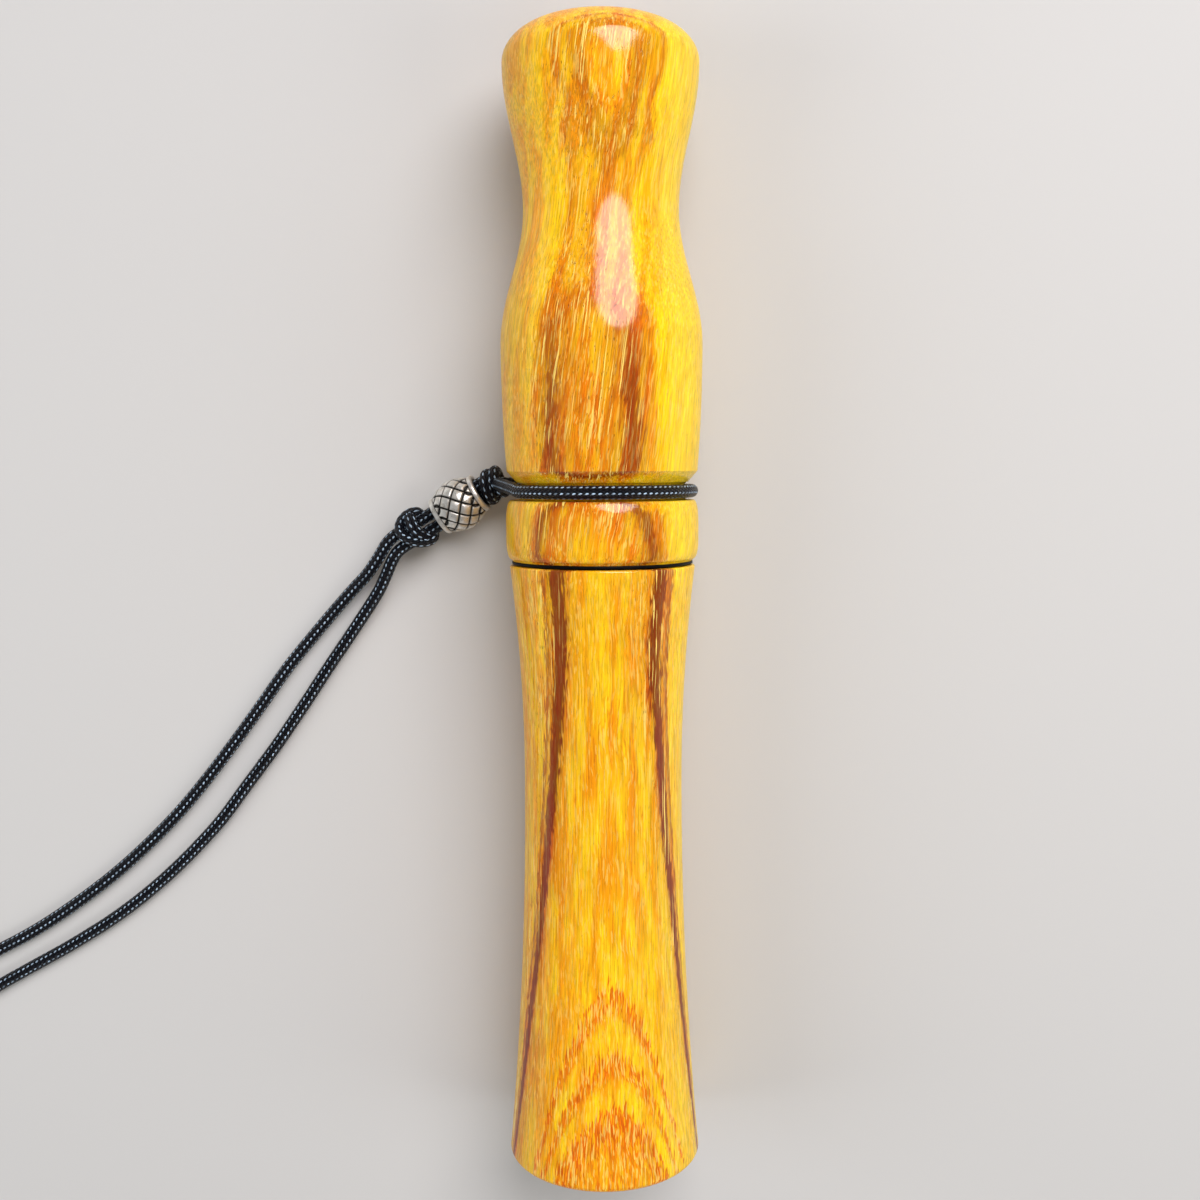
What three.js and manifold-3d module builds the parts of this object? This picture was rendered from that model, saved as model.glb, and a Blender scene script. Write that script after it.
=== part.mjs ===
// A turned wooden grunt call with its reed insert and its braided neck lanyard, lying on its side.
// Millimetres, +Z up. The call's axis runs along Y with the mouth end towards +Y. Z = 0 is the
// surface that the call lies on, and X = Y = 0 is under the middle of the call.
import * as THREE from 'three';
import { mergeVertices } from 'three/addons/utils/BufferGeometryUtils.js';
import Module from 'manifold-3d';

// Fits
const touchGap = 0.3; // between a piece and its seat
const sealGap = 0.15; // between an O-ring and the faces that it seals against

// Barrel
const barrelLength = 97.6;
const bellRadius = 15.6;
const bellEdge = 1.0; // rounding of the rim's outer edge
const bellMouthRadius = 12.4;
const bellLip = 0.5; // rounding of the rim's inner edge
const flareLength = 42;
const waistRadius = 12.75;
const waistFromBell = 63.5;
const barrelTopRadius = 14.8;
const edgeBreak = 0.4; // small rounding where a turned face ends
const socketWall = 3.7; // of wood around the socket
const socketDepth = 19.2;

// Joint between the barrel and the mouthpiece
const seamRingThickness = 0.5;
const seamRingInset = 0.3; // how far the ring stays below the wood

// Mouthpiece, from the joint to the mouth end
const collarLength = 9.65;
const collarRadius = barrelTopRadius + 0.58;
const collarFootRadius = barrelTopRadius - 0.05;
const collarTopRadius = barrelTopRadius - 0.2;
const collarRound = 3.4; // how far along the collar each end's rounding runs
const grooveWidth = 2.8;
const grooveFloorRadius = 12.9;
const grooveCorner = 0.7; // rounding between the groove's floor and its walls
const chamferLength = 1.75;
const chamferFootRadius = 13.65;
const bodyEndRadius = 15.2;
const bodyTaperLength = 19.7;
const bodyRadius = 15.95;
const shoulderLength = 21.0;
const neckRadius = 12.22;
const bulbRise = 22.1;
const bulbRadius = 15.34;
const domeLength = 6.25;
const mouthFlatRadius = 5.7;
const mouthHoleRadius = 4.75;
const mouthLip = 0.5;
const mouthPassageLength = 36;
const chamberTaperLength = 3.5;
const socketRadius = barrelTopRadius - socketWall;
const tenonRadius = socketRadius - touchGap;
const tenonWall = 2.8; // of wood around the reed chamber
const chamberRadius = tenonRadius - tenonWall;
const boreClearance = 0.8; // around the reed insert, which comes out through the barrel
const boreRadius = chamberRadius + boreClearance;
const tenonLength = 18.0;
const tenonChamfer = 0.5;

// O-rings
const tenonRingSection = 1.8;
const tenonRingInset = 4.9; // from the shoulder, and from the tenon's end, to each ring
const plugRingSection = 1.6;
const plugRingInset = 4.0; // from the plug's barrel end

// Reed insert
const plugFit = 0.35; // around the plug in the chamber
const plugRadius = chamberRadius - plugFit;
const plugLength = 16.0;
const plugSeat = 0.2; // how far the plug sits inside the tenon's end
const plugPocketDepth = 8.0;
const plugPocketWall = 1.75; // with the fit around the board
const boardRadius = plugRadius - plugPocketWall;
const plugLedge = 1.5; // that the board's root stands on
const plugBoreRadius = boardRadius - plugLedge;
const boardReach = 35.6; // how far the tone board stands out of the plug
const boardFlat = 1.0; // height of its flat face over the call's axis
const boardNose = 3.0; // rounding of its tip
const channelWall = 2.6;
const channelRadius = boardRadius - channelWall;
const channelTipWall = 5.0;
const toneDrop = 1.3; // how far the tone face falls away at the tip
const toneStart = 1.6; // where it starts to fall, from the plug
const reedThickness = 0.35;
const reedSideInset = 1.9; // from the round of the board to each edge
const reedWidth = 2 * (boardRadius - reedSideInset);
const reedTail = 5.9; // clamped length inside the plug
const reedReach = 34.6;
const reedTipRound = 2.5;
const tuningRingWall = 1.3;
const tuningRingWidth = 1.5;
const tuningRingFromPlug = 7.6;
const tuningRingHeadroom = 1.0; // over the reed, for its swing

// Lanyard. Places here are X, Y from the lanyard groove, and Z.
const cordDiameter = 2.1;
const strandOffset = 1.2; // from the bead's axis to each strand in it
const beadLength = 8.3;
const beadRadius = 4.45;
const beadRimRadius = 3.3;
const beadRimBand = 0.7;
const beadBoreRadius = 2.45;
const beadPlace = new THREE.Vector3(-23.9, -2.4, 4.9);
const beadDirection = new THREE.Vector3(-0.854, -0.509, -0.105).normalize(); // to the neck loop
const nooseKnotRadius = 2.85;
const nooseKnotLength = 3.5;
const nooseKnotFromBead = 7.1; // between the two middles
const stopperKnotRadius = 3.25;
const stopperKnotLength = 5.6;
const stopperKnotFromBead = 8.9;
const cordHeight = 1.1; // of the cord's middle where it lies on the surface
const coilPlace = new THREE.Vector3(-140, -106, 0);
const coilOuterRadius = 17.25;
const coilPitch = 2.65; // from turn to turn and from layer to layer
const coilStartAngle = Math.PI / 2;
const coilTurns = 7 + 260 / 360;
const coilStepsPerTurn = 24;

// Each strand's route between the stopper knot and the coil
const strandRouteA = [
  [-36.4, -8.9, 3.4], [-38.0, -11.4, 2.95], [-40.1, -14.3, 2.4], [-42.6, -16.9, 1.95],
  [-48.3, -23.3, 1.3], [-54.1, -30.2, cordHeight], [-59.2, -37.2, cordHeight],
  [-64.4, -44.2, cordHeight], [-70.0, -51.3, cordHeight], [-75.3, -57.3, cordHeight],
  [-84.0, -65.5, cordHeight], [-92.6, -72.1, cordHeight], [-101.2, -77.6, cordHeight],
  [-113.0, -83.4, cordHeight], [-121.0, -86.4, cordHeight], [-129.5, -88.2, cordHeight],
];
const strandRouteB = [
  [-34.95, -10.75, 3.4], [-35.8, -12.2, 3.15], [-36.75, -14.3, 2.75], [-38.15, -17.1, 2.25], [-42.3, -23.3, 1.4],
  [-47.1, -30.2, cordHeight], [-51.8, -37.2, cordHeight], [-56.7, -44.2, cordHeight],
  [-62.1, -51.3, cordHeight], [-67.0, -57.7, cordHeight], [-75.6, -66.5, cordHeight],
  [-84.2, -73.5, cordHeight], [-92.9, -79.1, cordHeight], [-101.5, -83.9, cordHeight],
  [-107.0, -87.0, cordHeight], [-111.9, -90.2, cordHeight], [-116.5, -94.8, 1.2],
  [-120.1, -100.1, 2.0], [-121.6, -103.4, 3.0],
];

// Stations along the call's axis, from the bell end
const shoulderStation = barrelLength + sealGap + seamRingThickness;
const collarTopStation = shoulderStation + collarLength;
const grooveStation = collarTopStation + grooveWidth / 2;
const chamferFootStation = collarTopStation + grooveWidth;
const bodyEndStation = chamferFootStation + chamferLength;
const bodyStation = bodyEndStation + bodyTaperLength;
const neckStation = bodyStation + shoulderLength;
const bulbStation = neckStation + bulbRise;
const callLength = bulbStation + domeLength;
const tenonEndStation = shoulderStation - tenonLength;
const tenonRingStations = [tenonEndStation + tenonRingInset, shoulderStation - tenonRingInset];
const plugStation = tenonEndStation + plugSeat;
const plugRingStation = plugStation + plugRingInset;
const plugTopStation = plugStation + plugLength;
const boardRootStation = plugTopStation - plugPocketDepth + touchGap;
const boardTipStation = plugTopStation + boardReach;

const axisHeight = bodyRadius;
const cordRadius = cordDiameter / 2;
const nooseRadius = grooveFloorRadius + touchGap + cordRadius;
const reedTop = boardFlat + touchGap + reedThickness; // over the call's axis

const woodSides = 40;
const ringSides = 28;
const cordSides = 8;

const wood = new THREE.MeshStandardMaterial({ color: 0xd9952a, roughness: 0.25 });
const blackRubber = new THREE.MeshStandardMaterial({ color: 0x0c0c0d, roughness: 0.6 });
const blackPlastic = new THREE.MeshStandardMaterial({ color: 0x151516, roughness: 0.4 });
const amberFilm = new THREE.MeshStandardMaterial({ color: 0xb98a3c, roughness: 0.2 });
const cork = new THREE.MeshStandardMaterial({ color: 0xb98d5e, roughness: 0.85 });
const antiqueSilver = new THREE.MeshStandardMaterial({ color: 0xb9b6ae, roughness: 0.35, metalness: 1 });
const braidedCord = new THREE.MeshStandardMaterial({ color: 0x14161c, roughness: 0.8 });

// In the first group Y is the station and the call's axis is the origin of X and Z. In the second
// Y starts at the lanyard groove and Z at the surface below.
const gruntCall = new THREE.Group();
const onAxis = new THREE.Group();
const lanyard = new THREE.Group();
onAxis.position.set(0, -callLength / 2, axisHeight);
lanyard.position.set(0, grooveStation - callLength / 2, 0);
gruntCall.add(onAxis, lanyard);

function addPiece(group, name, geometry, material) {
  const mesh = new THREE.Mesh(geometry, material.clone());
  mesh.name = name;
  group.add(mesh);
  return mesh;
}

// An outline is a list of [station, radius]. It runs up the outside and comes back down the inside.
function turned(outline, sides) {
  const closed = [...outline, outline[0]];
  return new THREE.LatheGeometry(closed.map(([station, radius]) => new THREE.Vector2(radius, station)), sides);
}

function stretch(steps, place) {
  return Array.from({ length: steps + 1 }, (_, i) => place(i / steps));
}

// A smooth S between two radii, level at both ends
function ease([stationA, radiusA], [stationB, radiusB], steps) {
  return stretch(steps, (t) => [
    stationA + (stationB - stationA) * t,
    radiusA + ((radiusB - radiusA) * (1 - Math.cos(Math.PI * t))) / 2,
  ]);
}

// A cove that is level at its first point and bends away evenly to its second
function cove([stationA, radiusA], [stationB, radiusB], steps) {
  return stretch(steps, (t) => [
    stationA + (stationB - stationA) * t,
    radiusA + (radiusB - radiusA) * t * t,
  ]);
}

// A quarter of an ellipse that starts along the axis and ends across it
function quarter([stationA, radiusA], [stationB, radiusB], steps) {
  return stretch(steps, (t) => [
    stationA + (stationB - stationA) * Math.sin((Math.PI / 2) * t),
    radiusB + (radiusA - radiusB) * Math.cos((Math.PI / 2) * t),
  ]);
}

// Stretches become one outline, and a point that two of them share is kept once.
function joined(...stretches) {
  const outline = [];
  for (const [station, radius] of stretches.flat()) {
    const last = outline[outline.length - 1];
    if (!last || Math.hypot(station - last[0], radius - last[1]) > 1e-6) outline.push([station, radius]);
  }
  return outline;
}

function ringGroove(station, section, ringOuterRadius, surfaceRadius) {
  const half = section / 2 + sealGap;
  const floor = ringOuterRadius - section - sealGap;
  return [
    [station - half, surfaceRadius],
    [station - half, floor],
    [station + half, floor],
    [station + half, surfaceRadius],
  ];
}

function addBarrel() {
  const top = barrelLength;
  const socketFloor = top - socketDepth;
  addPiece(onAxis, 'barrel', turned(joined(
    quarter([bellEdge, bellRadius], [0, bellRadius - bellEdge], 4).reverse(),
    cove([waistFromBell, waistRadius], [bellEdge, bellRadius], 10).reverse(),
    cove([waistFromBell, waistRadius], [top - edgeBreak, barrelTopRadius], 6),
    quarter([top - edgeBreak, barrelTopRadius], [top, barrelTopRadius - edgeBreak], 2),
    [[top, socketRadius + edgeBreak], [top - edgeBreak, socketRadius], [socketFloor, socketRadius]],
    [[socketFloor, boreRadius]],
    cove([flareLength, boreRadius], [bellLip, bellMouthRadius], 6),
    quarter([bellLip, bellMouthRadius], [0, bellMouthRadius + bellLip], 3),
  ), woodSides), wood);
}

function addMouthpiece() {
  const end = callLength;
  const chamberTop = end - mouthPassageLength - chamberTaperLength;
  const grooveFloor = [grooveStation, grooveFloorRadius];
  const grooveWall = grooveFloorRadius + grooveCorner;
  addPiece(onAxis, 'mouthpiece', turned(joined(
    [[tenonEndStation, chamberRadius], [tenonEndStation, tenonRadius - tenonChamfer]],
    [[tenonEndStation + tenonChamfer, tenonRadius]],
    ...tenonRingStations.map((station) => (
      ringGroove(station, tenonRingSection, socketRadius - sealGap, tenonRadius)
    )),
    [[shoulderStation, tenonRadius], [shoulderStation, collarFootRadius - edgeBreak]],
    quarter([shoulderStation + collarRound, collarRadius], [shoulderStation + edgeBreak, collarFootRadius], 5).reverse(),
    quarter([collarTopStation - collarRound, collarRadius], [collarTopStation, collarTopRadius], 5),
    quarter(grooveFloor, [collarTopStation, grooveWall], 3).reverse(),
    quarter(grooveFloor, [chamferFootStation, grooveWall], 3),
    [[chamferFootStation, chamferFootRadius], [bodyEndStation, bodyEndRadius]],
    cove([bodyStation, bodyRadius], [bodyEndStation, bodyEndRadius], 5).reverse(),
    ease([bodyStation, bodyRadius], [neckStation, neckRadius], 9),
    ease([neckStation, neckRadius], [bulbStation, bulbRadius], 8),
    quarter([bulbStation, bulbRadius], [end, mouthFlatRadius], 8),
    quarter([end - mouthLip, mouthHoleRadius], [end, mouthHoleRadius + mouthLip], 3).reverse(),
    [[end - mouthPassageLength, mouthHoleRadius], [chamberTop, chamberRadius]],
  ), woodSides), wood);
}

function addSeamRing() {
  const outer = Math.min(collarFootRadius, barrelTopRadius) - seamRingInset;
  const inner = tenonRadius + touchGap;
  const start = shoulderStation - seamRingThickness;
  const round = seamRingThickness / 3;
  addPiece(onAxis, 'seam_ring', turned([
    [start, inner],
    [start, outer - round],
    [start + round, outer],
    [shoulderStation - round, outer],
    [shoulderStation, outer - round],
    [shoulderStation, inner],
  ], woodSides), blackRubber);
}

function addRing(name, station, section, outerRadius) {
  const points = 8;
  const outline = Array.from({ length: points }, (_, i) => {
    const angle = ((i + 0.5) / points) * Math.PI * 2;
    return [
      station - (Math.cos(angle) * section) / 2,
      outerRadius - section / 2 + (Math.sin(angle) * section) / 2,
    ];
  });
  addPiece(onAxis, name, turned(outline, ringSides), blackRubber);
}

function addRings() {
  const [lower, upper] = tenonRingStations;
  addRing('tenon_o_ring_lower', lower, tenonRingSection, socketRadius - sealGap);
  addRing('tenon_o_ring_upper', upper, tenonRingSection, socketRadius - sealGap);
  addRing('plug_o_ring', plugRingStation, plugRingSection, chamberRadius - sealGap);
}

function addPlug() {
  const pocketFloor = plugTopStation - plugPocketDepth;
  const pocketRadius = boardRadius + touchGap;
  addPiece(onAxis, 'reed_plug', turned(joined(
    [[plugStation, plugBoreRadius], [plugStation, plugRadius - edgeBreak], [plugStation + edgeBreak, plugRadius]],
    ringGroove(plugRingStation, plugRingSection, chamberRadius - sealGap, plugRadius),
    [[plugTopStation - edgeBreak, plugRadius], [plugTopStation, plugRadius - edgeBreak]],
    [[plugTopStation, pocketRadius], [pocketFloor, pocketRadius], [pocketFloor, plugBoreRadius]],
  ), woodSides), blackPlastic);
}

const wasm = await Module();
wasm.setup();

function solidOf(geometry) {
  const bare = geometry.clone();
  bare.deleteAttribute('normal');
  bare.deleteAttribute('uv');
  const merged = mergeVertices(bare);
  return new wasm.Manifold(new wasm.Mesh({
    numProp: 3,
    vertProperties: merged.attributes.position.array,
    triVerts: merged.index.array,
  }));
}

function geometryOf(solid) {
  const { vertProperties, triVerts } = solid.getMesh();
  const geometry = new THREE.BufferGeometry();
  geometry.setAttribute('position', new THREE.BufferAttribute(vertProperties, 3));
  geometry.setIndex(new THREE.BufferAttribute(triVerts, 1));
  geometry.computeVertexNormals();
  return geometry;
}

// A section drawn in X and Z, pushed along the call's axis between two stations
function pushed(section, fromStation, toStation) {
  const depth = toStation - fromStation;
  const geometry = new THREE.ExtrudeGeometry(section, { depth, bevelEnabled: false, curveSegments: 14 });
  return geometry.rotateX(Math.PI / 2).translate(0, toStation, 0);
}

// The tone board is a half-round trough. Its flat face falls away towards the tip, and the reed
// lies over the channel that is cut along it.
function addToneBoard() {
  const bar = turned(joined(
    [[boardRootStation, 0], [boardRootStation, boardRadius]],
    quarter([boardTipStation - boardNose, boardRadius], [boardTipStation, boardRadius - boardNose], 4),
    [[boardTipStation, 0]],
  ), 40);

  // Everything over the tone face, seen from the side: X of this shape is the station
  const margin = 1;
  const faceStart = plugTopStation + toneStart;
  const above = new THREE.Shape();
  above.moveTo(boardRootStation - margin, boardFlat);
  for (const [station, height] of cove([faceStart, boardFlat], [boardTipStation, boardFlat - toneDrop], 10)) {
    above.lineTo(station, height);
  }
  above.lineTo(boardTipStation + margin, boardFlat - toneDrop);
  above.lineTo(boardTipStation + margin, boardRadius + margin);
  above.lineTo(boardRootStation - margin, boardRadius + margin);
  const halfWidth = boardRadius + margin;
  const cap = new THREE.ExtrudeGeometry(above, { depth: 2 * halfWidth, bevelEnabled: false });
  const sideways = new THREE.Matrix4().makeBasis(
    new THREE.Vector3(0, 1, 0),
    new THREE.Vector3(0, 0, 1),
    new THREE.Vector3(1, 0, 0),
  );
  cap.applyMatrix4(sideways).translate(-halfWidth, 0, 0);

  const section = new THREE.Shape();
  section.moveTo(-channelRadius, boardFlat + margin);
  section.absarc(0, 0, channelRadius, Math.PI, 2 * Math.PI, false);
  section.lineTo(channelRadius, boardFlat + margin);
  const channel = pushed(section, boardRootStation - margin, boardTipStation - channelTipWall);

  const board = solidOf(bar).subtract(solidOf(cap)).subtract(solidOf(channel));
  addPiece(onAxis, 'tone_board', geometryOf(board), blackPlastic);
}

function addReed() {
  const half = reedWidth / 2;
  const tail = plugTopStation - reedTail;
  const tip = plugTopStation + reedReach;
  const plan = new THREE.Shape();
  plan.moveTo(-half, tail);
  plan.lineTo(half, tail);
  plan.lineTo(half, tip - reedTipRound);
  plan.absarc(half - reedTipRound, tip - reedTipRound, reedTipRound, 0, Math.PI / 2, false);
  plan.absarc(reedTipRound - half, tip - reedTipRound, reedTipRound, Math.PI / 2, Math.PI, false);
  const reed = new THREE.ExtrudeGeometry(plan, { depth: reedThickness, bevelEnabled: false, curveSegments: 5 });
  addPiece(onAxis, 'reed', reed.translate(0, 0, boardFlat + touchGap), amberFilm);
}

// What is left of a circle under or over a chord at a height
function chordArc(shape, radius, chordHeight, over) {
  const end = Math.asin(chordHeight / radius);
  if (over) shape.absarc(0, 0, radius, end, Math.PI - end, false);
  else shape.absarc(0, 0, radius, -Math.PI - end, end, false);
  return shape;
}

function addWedge() {
  const section = chordArc(new THREE.Shape(), boardRadius, reedTop + touchGap, true);
  addPiece(onAxis, 'reed_wedge', pushed(section, boardRootStation, plugTopStation), cork);
}

function addTuningRing() {
  const inner = boardRadius + touchGap;
  const chord = reedTop + tuningRingHeadroom;
  const section = chordArc(new THREE.Shape(), inner + tuningRingWall, chord + tuningRingWall, false);
  section.holes.push(chordArc(new THREE.Path(), inner, chord, false));
  const middle = plugTopStation + tuningRingFromPlug;
  const ring = pushed(section, middle - tuningRingWidth / 2, middle + tuningRingWidth / 2);
  addPiece(onAxis, 'tuning_ring', ring, blackRubber);
}

function cordTube(path, steps) {
  const section = new THREE.Shape(Array.from({ length: cordSides }, (_, i) => {
    const angle = (i / cordSides) * Math.PI * 2;
    return new THREE.Vector2(cordRadius * Math.cos(angle), cordRadius * Math.sin(angle));
  }));
  return new THREE.ExtrudeGeometry(section, { steps, bevelEnabled: false, extrudePath: path });
}

const alongBead = (distance) => beadPlace.clone().addScaledVector(beadDirection, distance);
const beadSide = new THREE.Vector3(beadDirection.y, -beadDirection.x, 0).normalize();
const nooseKnotPlace = alongBead(-nooseKnotFromBead);
const stopperKnotPlace = alongBead(stopperKnotFromBead);

// The noose lies in the groove and leaves it at two tangents, which run straight to its knot.
class NooseCurve extends THREE.Curve {
  constructor() {
    super();
    const across = new THREE.Vector2(nooseKnotPlace.x, nooseKnotPlace.z - axisHeight);
    const knotAngle = Math.atan2(across.y, across.x);
    const reach = Math.acos(nooseRadius / across.length());
    this.startAngle = knotAngle - reach;
    this.sweep = -2 * (Math.PI - reach);
    this.first = this.onGroove(0);
    this.last = this.onGroove(1);
    const legStart = nooseKnotRadius + 2 * touchGap;
    const legFrom = (end) => nooseKnotPlace.clone().addScaledVector(end.clone().sub(nooseKnotPlace).normalize(), legStart);
    this.start = legFrom(this.first);
    this.end = legFrom(this.last);
    const leg = this.start.distanceTo(this.first);
    this.legShare = leg / (2 * leg + nooseRadius * Math.abs(this.sweep));
  }

  onGroove(t) {
    const angle = this.startAngle + this.sweep * t;
    return new THREE.Vector3(nooseRadius * Math.cos(angle), 0, axisHeight + nooseRadius * Math.sin(angle));
  }

  getPoint(t, target = new THREE.Vector3()) {
    const share = this.legShare;
    if (t < share) return target.lerpVectors(this.start, this.first, t / share);
    if (t > 1 - share) return target.lerpVectors(this.last, this.end, (t - 1 + share) / share);
    return target.copy(this.onGroove((t - share) / (1 - 2 * share)));
  }
}

// A knot is a short bundle of rounded wraps about the line of the bead.
function addKnot(name, place, radius, length, wraps) {
  const wrap = length / wraps / 2;
  const outline = [[-length / 2, 0]];
  for (let i = 0; i < wraps; i += 1) {
    const middle = -length / 2 + wrap * (2 * i + 1);
    for (let k = 0; k <= 4; k += 1) {
      const angle = (Math.PI * k) / 4;
      outline.push([middle - wrap * Math.cos(angle), radius - wrap + wrap * Math.sin(angle)]);
    }
  }
  outline.push([length / 2, 0]);
  const knot = addPiece(lanyard, name, turned(joined(outline), 20), braidedCord);
  knot.quaternion.setFromUnitVectors(new THREE.Vector3(0, 1, 0), beadDirection);
  knot.position.copy(place);
}

function addBead() {
  const half = beadLength / 2;
  const belly = stretch(10, (t) => {
    const along = (half - beadRimBand) * (2 * t - 1);
    return [along, beadRimRadius + (beadRadius - beadRimRadius) * Math.cos((Math.PI / 2) * (2 * t - 1))];
  });
  const bead = addPiece(lanyard, 'bead', turned(joined(
    [[-half, beadBoreRadius], [-half, beadRimRadius]],
    belly,
    [[half, beadRimRadius], [half, beadBoreRadius]],
  ), 28), antiqueSilver);
  bead.quaternion.setFromUnitVectors(new THREE.Vector3(0, 1, 0), beadDirection);
  bead.position.copy(beadPlace);
}

function addHeldCords() {
  addPiece(lanyard, 'noose', cordTube(new NooseCurve(), 52), braidedCord);
  addKnot('noose_knot', nooseKnotPlace, nooseKnotRadius, nooseKnotLength, 2);
  addKnot('stopper_knot', stopperKnotPlace, stopperKnotRadius, stopperKnotLength, 3);
  const from = alongBead(-nooseKnotFromBead + nooseKnotLength / 2 + touchGap);
  const to = alongBead(stopperKnotFromBead - stopperKnotLength / 2 - touchGap);
  for (const [name, offset] of [['bead_strand_a', strandOffset], ['bead_strand_b', -strandOffset]]) {
    const line = new THREE.LineCurve3(
      from.clone().addScaledVector(beadSide, offset),
      to.clone().addScaledVector(beadSide, offset),
    );
    addPiece(lanyard, name, cordTube(line, 1), braidedCord);
  }
}

// The coil's cord spirals in on the lower layer, climbs in the half turn where the spiral reverses
// and spirals out again on the upper layer. Each end runs straight for one diameter.
function coilPath() {
  const steps = Math.round(coilTurns * coilStepsPerTurn);
  const at = (turn) => {
    const angle = coilStartAngle + turn * Math.PI * 2;
    const fromMiddle = turn - coilTurns / 2;
    const radius = coilOuterRadius - coilPitch * (coilTurns / 2 - Math.abs(fromMiddle));
    const climb = THREE.MathUtils.smoothstep(fromMiddle, -0.25, 0.25);
    const place = new THREE.Vector3(radius * Math.cos(angle), radius * Math.sin(angle), 0);
    return place.add(coilPlace).setZ(cordRadius + coilPitch * climb);
  };
  const along = (turn) => {
    const angle = coilStartAngle + turn * Math.PI * 2;
    return new THREE.Vector3(-Math.sin(angle), Math.cos(angle), 0);
  };
  const turns = Array.from({ length: steps + 1 }, (_, i) => at((coilTurns * i) / steps));
  return [
    at(0).addScaledVector(along(0), -cordDiameter),
    ...turns,
    at(coilTurns).addScaledVector(along(coilTurns), cordDiameter),
  ];
}

// A closed tube of hexagonal rings about a list of points
function coilTube(path) {
  const sides = 6;
  const positions = [];
  const faces = [];
  const up = new THREE.Vector3(0, 0, 1);
  path.forEach((point, i) => {
    const before = path[Math.max(i - 1, 0)];
    const after = path[Math.min(i + 1, path.length - 1)];
    const along = after.clone().sub(before).normalize();
    const side = along.clone().cross(up).normalize();
    const over = side.clone().cross(along);
    for (let k = 0; k < sides; k += 1) {
      const angle = (k / sides) * Math.PI * 2 + Math.PI / 2;
      const corner = point.clone()
        .addScaledVector(side, cordRadius * Math.cos(angle))
        .addScaledVector(over, cordRadius * Math.sin(angle));
      positions.push(corner.x, corner.y, corner.z);
    }
  });
  for (let i = 0; i + 1 < path.length; i += 1) {
    for (let k = 0; k < sides; k += 1) {
      const a = i * sides + k;
      const b = i * sides + ((k + 1) % sides);
      faces.push(a, a + sides, b, b, a + sides, b + sides);
    }
  }
  const last = (path.length - 1) * sides;
  for (let k = 1; k + 1 < sides; k += 1) faces.push(0, k, k + 1, last, last + k + 1, last + k);
  const geometry = new THREE.BufferGeometry();
  geometry.setAttribute('position', new THREE.Float32BufferAttribute(positions, 3));
  geometry.setIndex(faces);
  geometry.computeVertexNormals();
  return geometry;
}

// Between any two points of the coil that are at least half a turn apart
function leastGap(path) {
  let least = Infinity;
  for (let i = 0; i < path.length; i += 1) {
    for (let j = i + coilStepsPerTurn / 2; j < path.length; j += 1) {
      least = Math.min(least, path[i].distanceTo(path[j]) - cordDiameter);
    }
  }
  return least;
}

function addCoil() {
  const path = coilPath();
  console.log(`lanyard_coil: least gap to itself ${leastGap(path).toFixed(2)} mm`);
  addPiece(lanyard, 'lanyard_coil', coilTube(path), braidedCord);
  return [path[0].clone().sub(path[1]), path[path.length - 1].clone().sub(path[path.length - 2])]
    .map((outward, i) => path[i ? path.length - 1 : 0].clone().addScaledVector(outward.normalize(), touchGap));
}

// Both strands leave the stopper knot in line with the bead and end at the coil's two ends.
function addStrands([coilEndA, coilEndB]) {
  const knotFace = alongBead(stopperKnotFromBead + stopperKnotLength / 2 + touchGap);
  const strands = [
    ['lanyard_strand_a', strandOffset, strandRouteA, coilEndA],
    ['lanyard_strand_b', -strandOffset, strandRouteB, coilEndB],
  ];
  for (const [name, offset, route, coilEnd] of strands) {
    const start = knotFace.clone().addScaledVector(beadSide, offset);
    const path = new THREE.CatmullRomCurve3([
      start,
      start.clone().addScaledVector(beadDirection, cordRadius / 2),
      ...route.map((place) => new THREE.Vector3(...place)),
      coilEnd,
    ]);
    console.log(`${name}: ${path.getLength().toFixed(0)} mm`);
    addPiece(lanyard, name, cordTube(path, 46), braidedCord);
  }
}

addBarrel();
addMouthpiece();
addSeamRing();
addRings();
addPlug();
addToneBoard();
addReed();
addWedge();
addTuningRing();
addBead();
addHeldCords();
addStrands(addCoil());

export default gruntCall;
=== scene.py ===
from math import acos, atan2, cos, floor, hypot, pi, radians, sin, sqrt

import bmesh
import bpy
from mathutils import Matrix, Vector


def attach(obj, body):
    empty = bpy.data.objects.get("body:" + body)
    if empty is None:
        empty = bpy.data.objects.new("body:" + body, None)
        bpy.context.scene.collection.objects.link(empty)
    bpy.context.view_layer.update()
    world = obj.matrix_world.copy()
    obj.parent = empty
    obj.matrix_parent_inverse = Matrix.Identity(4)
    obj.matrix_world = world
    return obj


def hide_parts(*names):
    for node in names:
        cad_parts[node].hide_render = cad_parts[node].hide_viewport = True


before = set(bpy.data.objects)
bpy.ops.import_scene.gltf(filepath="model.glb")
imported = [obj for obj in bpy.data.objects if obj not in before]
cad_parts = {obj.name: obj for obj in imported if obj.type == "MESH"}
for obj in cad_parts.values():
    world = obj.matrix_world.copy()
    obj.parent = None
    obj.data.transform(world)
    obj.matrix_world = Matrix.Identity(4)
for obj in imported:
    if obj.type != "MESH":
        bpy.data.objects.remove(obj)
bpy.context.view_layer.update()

print("frame loaded,", len(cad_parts), "nodes")

# Lengths are written in millimetres. The call's axis runs along Y, the mouth end is at +Y, and a
# station is a distance along that axis from the bell end.
mm = 0.001
callLength = 181.5
axisHeight = 15.95
grooveStation = 109.3
grooveFloor = 12.9  # radius at the floor of the lanyard groove


def linear(red, green, blue):
    # a colour as it is picked on screen, 0 to 255
    parts = [value / 255 for value in (red, green, blue)]
    return tuple(p / 12.92 if p <= 0.04045 else ((p + 0.055) / 1.055) ** 2.4 for p in parts) + (1.0,)


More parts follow.
